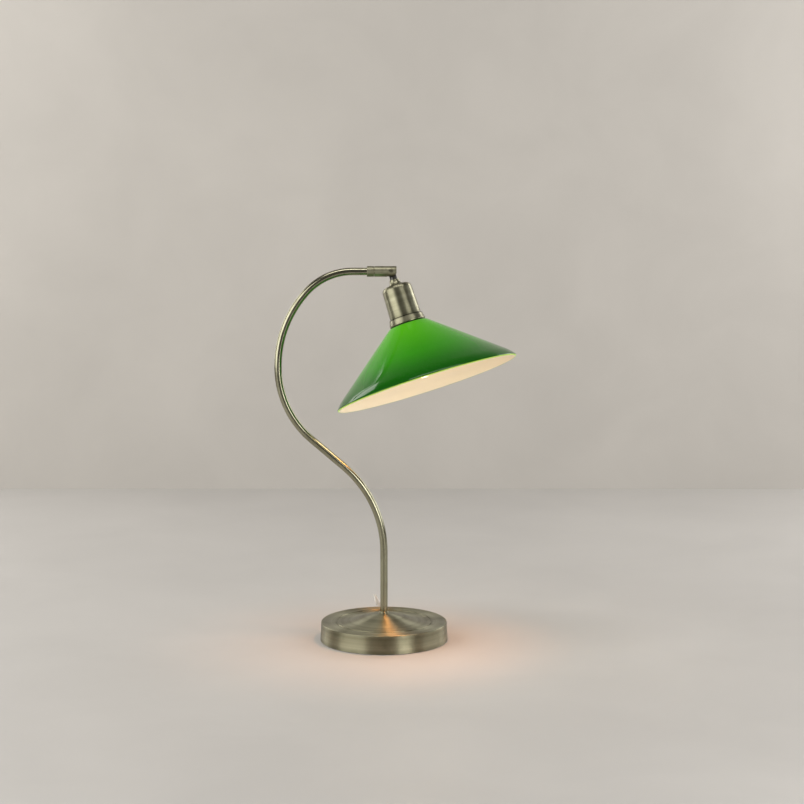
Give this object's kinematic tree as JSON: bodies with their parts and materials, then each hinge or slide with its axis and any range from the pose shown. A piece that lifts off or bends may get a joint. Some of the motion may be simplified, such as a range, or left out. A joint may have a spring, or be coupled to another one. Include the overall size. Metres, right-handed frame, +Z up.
{
  "type": "banker desk lamp",
  "caption": "Desk lamp with a round weighted base, bowed tube stem, tilting swivel and a conical green cased-glass shade over a lampholder.",
  "frame": {"origin": "centre of the base's underside, on the table", "axes": "+Z up, +X from the stem towards the shade, -Y towards the viewer"},
  "size_m": [0.3274, 0.3157, 0.5015],
  "materials": {
    "brushed_brass": "brushed antique brass, olive-grey, lacquered",
    "raw_brass": "turned",
    "felt": "dark felt",
    "steel_plate": "mill finish",
    "cast_iron": "as cast",
    "zinc_steel": "zinc plated",
    "dark_steel": "blackened",
    "nickel": "nickel plated",
    "porcelain": "glazed",
    "black_phenolic": "moulded",
    "gasket_rubber": "soft",
    "cased_glass": "glossy green outside, cream inside",
    "opal_glass": "frosted white",
    "black_glass": "moulded",
    "clear_pvc": "clear flexible jacket",
    "white_pvc": "moulded"
  },
  "bodies": {
    "base": {"base_cover": "brushed_brass", "base_felt": "felt", "base_plate": "steel_plate", "base_weight": "cast_iron", "foot_collar": "brushed_brass", "stem_tube": "brushed_brass", "stem_nut": "zinc_steel", "stem_washer": "zinc_steel", "swivel_collar": "brushed_brass", "grub_screw": "dark_steel", "swivel_bush": "raw_brass", "swivel_bush_nut": "raw_brass", "cord_gland": "clear_pvc", "inner_lead": "white_pvc", "cord_coil": "clear_pvc", "cord_arch": "clear_pvc", "cord_tail": "clear_pvc", "plug_body": "white_pvc", "plug_pin_1": "nickel", "plug_pin_2": "nickel", "plate_screw_1": "zinc_steel", "plate_screw_2": "zinc_steel", "plate_screw_3": "zinc_steel"},
    "fork": {"swivel_fork": "brushed_brass", "hinge_screw": "brushed_brass", "hinge_nut": "brushed_brass"},
    "head": {"swivel_tongue": "dark_steel", "tongue_washer_1": "raw_brass", "tongue_washer_2": "raw_brass", "holder_nipple": "raw_brass", "holder_bell": "brushed_brass", "holder_cup": "brushed_brass", "nipple_locknut": "raw_brass", "terminal_block": "porcelain", "terminal_screw_1": "raw_brass", "terminal_screw_2": "raw_brass", "socket_sleeve": "black_phenolic", "screw_shell": "nickel", "centre_contact": "raw_brass", "gallery_ring": "brushed_brass", "shade_gasket": "gasket_rubber", "clamp_ring": "black_phenolic", "shade_glass": "cased_glass", "bulb_contact": "nickel", "bulb_insulator": "black_glass", "bulb_cap": "nickel", "bulb_glass": "opal_glass", "switch_bush": "raw_brass", "switch_block": "black_phenolic"},
    "knob": {"switch_shaft": "nickel", "switch_knob": "black_phenolic"}
  },
  "joints": [
    {"name": "head_turn", "type": "hinge", "parent": "base", "child": "fork", "pos_m": [-0.0126, 0, 0.49444], "axis": [-1, 0, 0], "range_deg": [-73, 46.9]},
    {"name": "head_tilt", "type": "hinge", "parent": "fork", "child": "head", "pos_m": [0.01, 0, 0.49444], "axis": [0, -0.9739, 0.2268], "range_deg": [-18, 52.4]},
    {"name": "switch_turn", "type": "hinge", "parent": "head", "child": "knob", "pos_m": [0.02011, -0.00722, 0.46344], "axis": [0, 0.9739, -0.2268], "range_deg": [0, 90]}
  ]
}
